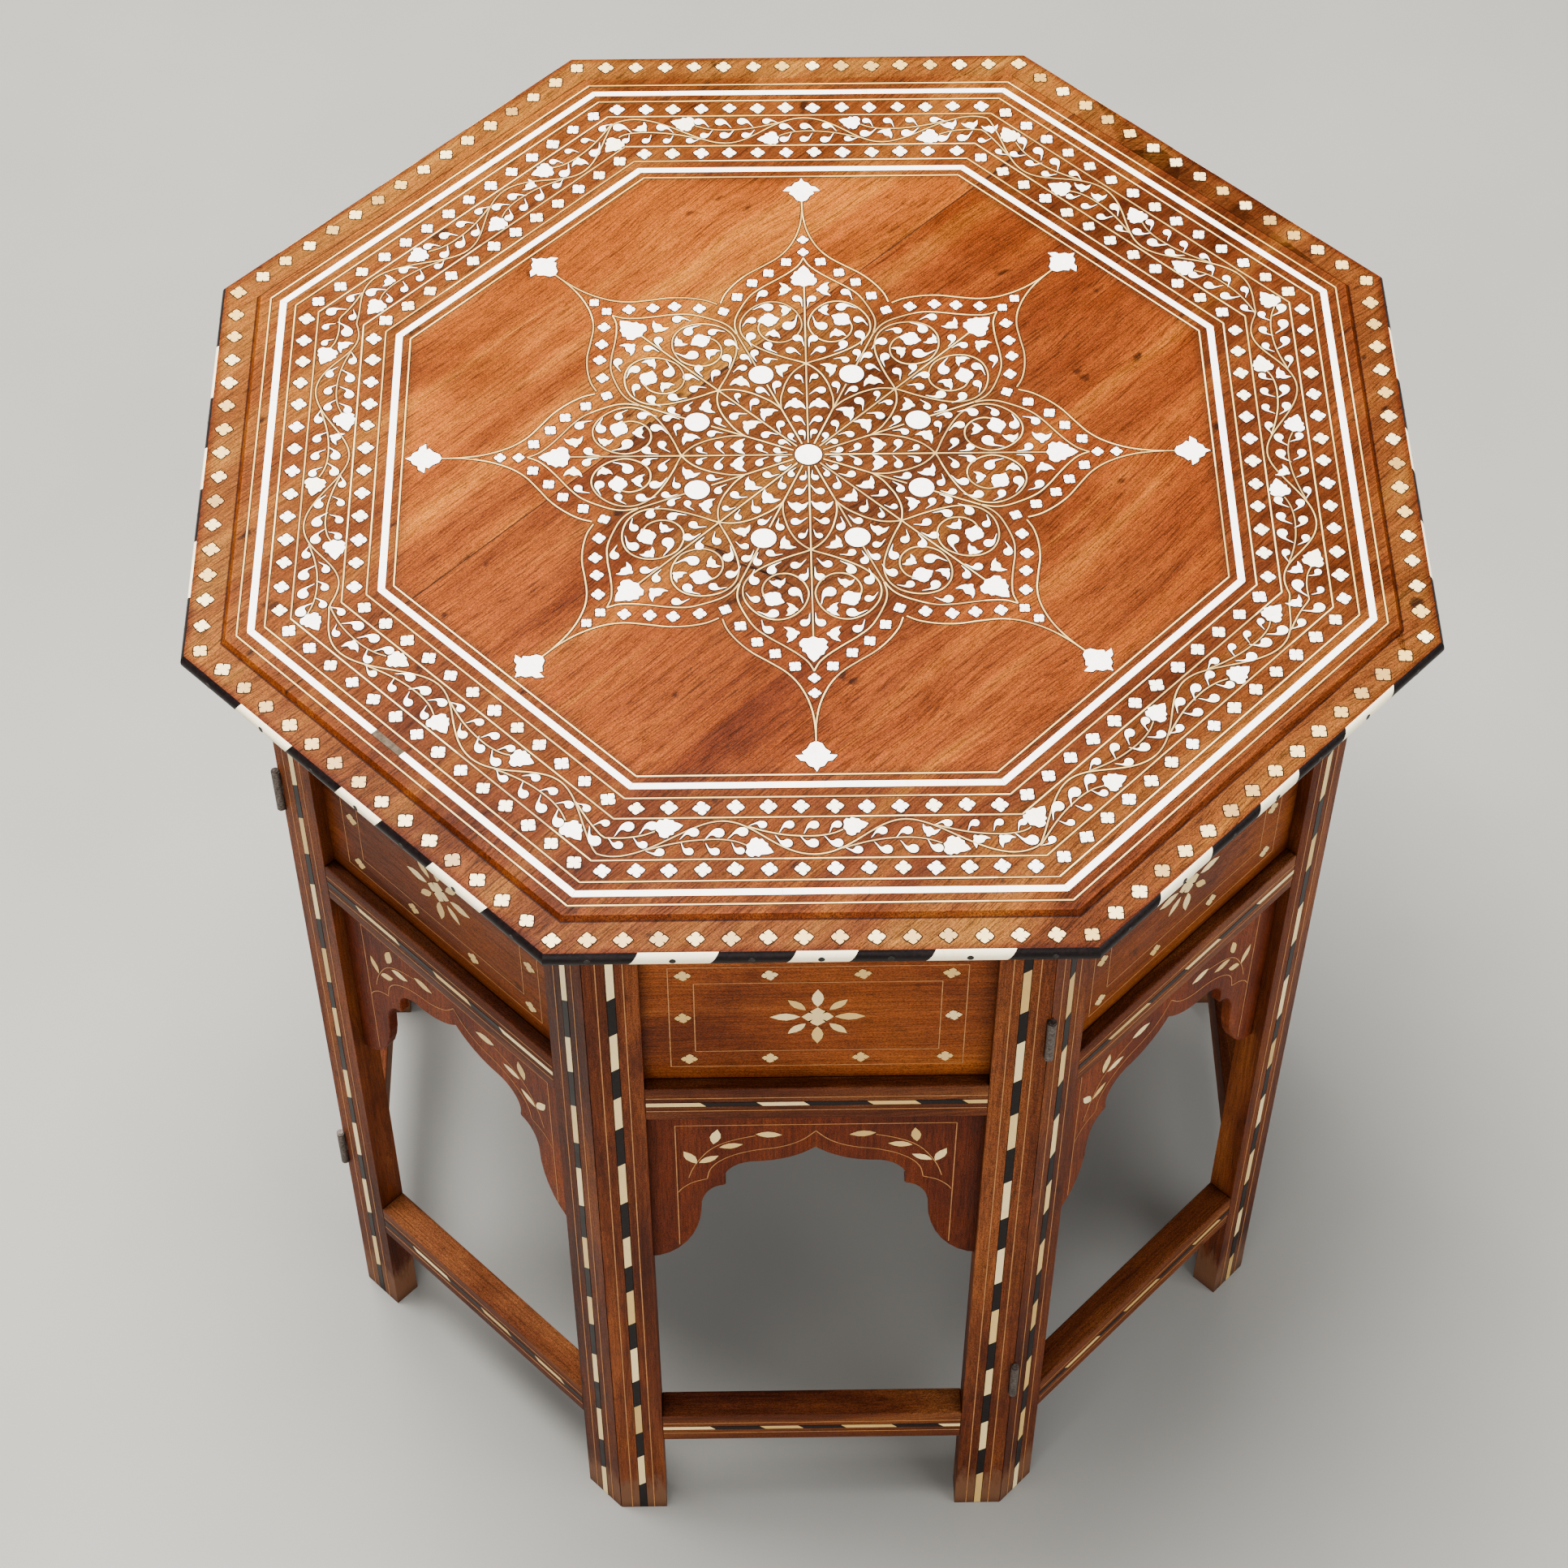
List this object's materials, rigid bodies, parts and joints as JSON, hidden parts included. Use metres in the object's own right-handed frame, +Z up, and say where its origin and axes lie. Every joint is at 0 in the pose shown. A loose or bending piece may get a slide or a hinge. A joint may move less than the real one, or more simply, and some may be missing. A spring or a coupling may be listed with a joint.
{
  "type": "octagonal inlaid side table",
  "caption": "Octagonal wooden side table with a bone and ebony inlaid lift-off top on a folding base of hinged, arched panels.",
  "frame": {"origin": "on the floor, under the middle of the top", "axes": "+Z up; the front panel faces -Y"},
  "size_m": [0.6, 0.6, 0.6085],
  "materials": {
    "top_wood": "satin, worn varnish",
    "top_wood_light": "satin, worn varnish",
    "frame_wood": "satin, worn varnish",
    "rail_wood": "satin, worn varnish",
    "panel_wood": "satin, worn varnish",
    "bone": "polished bone",
    "ebony": "polished black wood",
    "pin_metal": "dull dark metal",
    "hinge_iron": "aged iron"
  },
  "bodies": {
    "front_panel": {"front_left_stile": "frame_wood", "front_right_stile": "frame_wood", "front_rails": "rail_wood", "front_frieze_board": "panel_wood", "front_arch_board": "panel_wood", "front_hinges": "hinge_iron"},
    "right_front_panel": {"right_front_left_stile": "frame_wood", "right_front_right_stile": "frame_wood", "right_front_rails": "rail_wood", "right_front_frieze_board": "panel_wood", "right_front_arch_board": "panel_wood", "right_front_hinges": "hinge_iron"},
    "right_panel": {"right_left_stile": "frame_wood", "right_right_stile": "frame_wood", "right_rails": "rail_wood", "right_frieze_board": "panel_wood", "right_arch_board": "panel_wood", "right_hinges": "hinge_iron"},
    "right_back_panel": {"right_back_left_stile": "frame_wood", "right_back_right_stile": "frame_wood", "right_back_rails": "rail_wood", "right_back_frieze_board": "panel_wood", "right_back_arch_board": "panel_wood", "right_back_hinges": "hinge_iron"},
    "back_panel": {"back_left_stile": "frame_wood", "back_right_stile": "frame_wood", "back_rails": "rail_wood", "back_frieze_board": "panel_wood", "back_arch_board": "panel_wood", "back_hinges": "hinge_iron"},
    "left_back_panel": {"left_back_left_stile": "frame_wood", "left_back_right_stile": "frame_wood", "left_back_rails": "rail_wood", "left_back_frieze_board": "panel_wood", "left_back_arch_board": "panel_wood", "left_back_hinges": "hinge_iron"},
    "left_panel": {"left_left_stile": "frame_wood", "left_right_stile": "frame_wood", "left_rails": "rail_wood", "left_frieze_board": "panel_wood", "left_arch_board": "panel_wood", "left_hinges": "hinge_iron"},
    "left_front_panel": {"left_front_left_stile": "frame_wood", "left_front_right_stile": "frame_wood", "left_front_rails": "rail_wood", "left_front_frieze_board": "panel_wood", "left_front_arch_board": "panel_wood", "left_front_hinges": "hinge_iron"},
    "top": {"top_board_left": "top_wood_light", "top_board_right": "top_wood", "top_battens": "frame_wood", "edging_ebony": "ebony", "edging_bone": "bone", "edging_pins": "pin_metal", "inner_bone_band": "bone", "outer_bone_band": "bone"}
  },
  "joints": [
    {"name": "left_front_fold", "type": "hinge", "parent": "front_panel", "child": "left_front_panel", "pos_m": [-0.10306, -0.24881, 0.15], "axis": [0, 0, -1], "range_deg": [0, 118.8]},
    {"name": "left_fold", "type": "hinge", "parent": "left_front_panel", "child": "left_panel", "pos_m": [-0.26739, -0.11076, 0.15], "axis": [0, 0, 1], "range_deg": [0, 198.1]},
    {"name": "left_back_fold", "type": "hinge", "parent": "left_panel", "child": "left_back_panel", "pos_m": [-0.24881, 0.10306, 0.15], "axis": [0, 0, -1], "range_deg": [0, 118.9]},
    {"name": "right_front_fold", "type": "hinge", "parent": "front_panel", "child": "right_front_panel", "pos_m": [0.11076, -0.26739, 0.15], "axis": [0, 0, -1], "range_deg": [0, 39.7]},
    {"name": "right_fold", "type": "hinge", "parent": "right_front_panel", "child": "right_panel", "pos_m": [0.24881, -0.10306, 0.15], "axis": [0, 0, 1], "range_deg": [0, 118.9]},
    {"name": "right_back_fold", "type": "hinge", "parent": "right_panel", "child": "right_back_panel", "pos_m": [0.26739, 0.11076, 0.15], "axis": [0, 0, -1], "range_deg": [0, 198.1]},
    {"name": "back_fold", "type": "hinge", "parent": "right_back_panel", "child": "back_panel", "pos_m": [0.10306, 0.24881, 0.15], "axis": [0, 0, 1], "range_deg": [0, 118.9]},
    {"name": "top_lift", "type": "slide", "parent": "front_panel", "child": "top", "axis": [0, 0, 1], "range_m": [0, 0.3]}
  ],
  "couplings": [
    {"joint": "left_fold", "follows": "left_front_fold", "ratio": 1.6667},
    {"joint": "left_back_fold", "follows": "left_front_fold", "ratio": 1},
    {"joint": "right_front_fold", "follows": "left_front_fold", "ratio": 0.33333},
    {"joint": "right_fold", "follows": "left_front_fold", "ratio": 1},
    {"joint": "right_back_fold", "follows": "left_front_fold", "ratio": 1.6667},
    {"joint": "back_fold", "follows": "left_front_fold", "ratio": 1}
  ]
}
